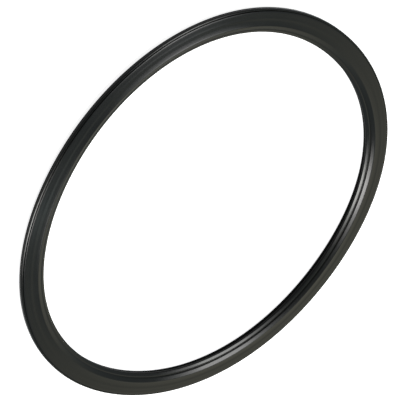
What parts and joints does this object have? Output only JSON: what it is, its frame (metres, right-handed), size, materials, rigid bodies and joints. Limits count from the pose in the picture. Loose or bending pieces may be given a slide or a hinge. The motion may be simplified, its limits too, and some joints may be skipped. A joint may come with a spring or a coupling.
{
  "type": "pressure cooker sealing ring",
  "caption": "Black moulded rubber sealing ring for a stovetop pressure cooker lid, with a coned front face, a beaded rim and inner lips either side of an open channel.",
  "frame": {"origin": "centre of the ring, in the plane of the flat rear land that it lies on", "axes": "+Z along the ring's axis, out of the front face"},
  "size_m": [0.24, 0.24, 0.0059],
  "materials": {
    "rubber": "satin moulded black"
  },
  "bodies": {
    "root": {"sealing_ring": "rubber"}
  },
  "joints": []
}
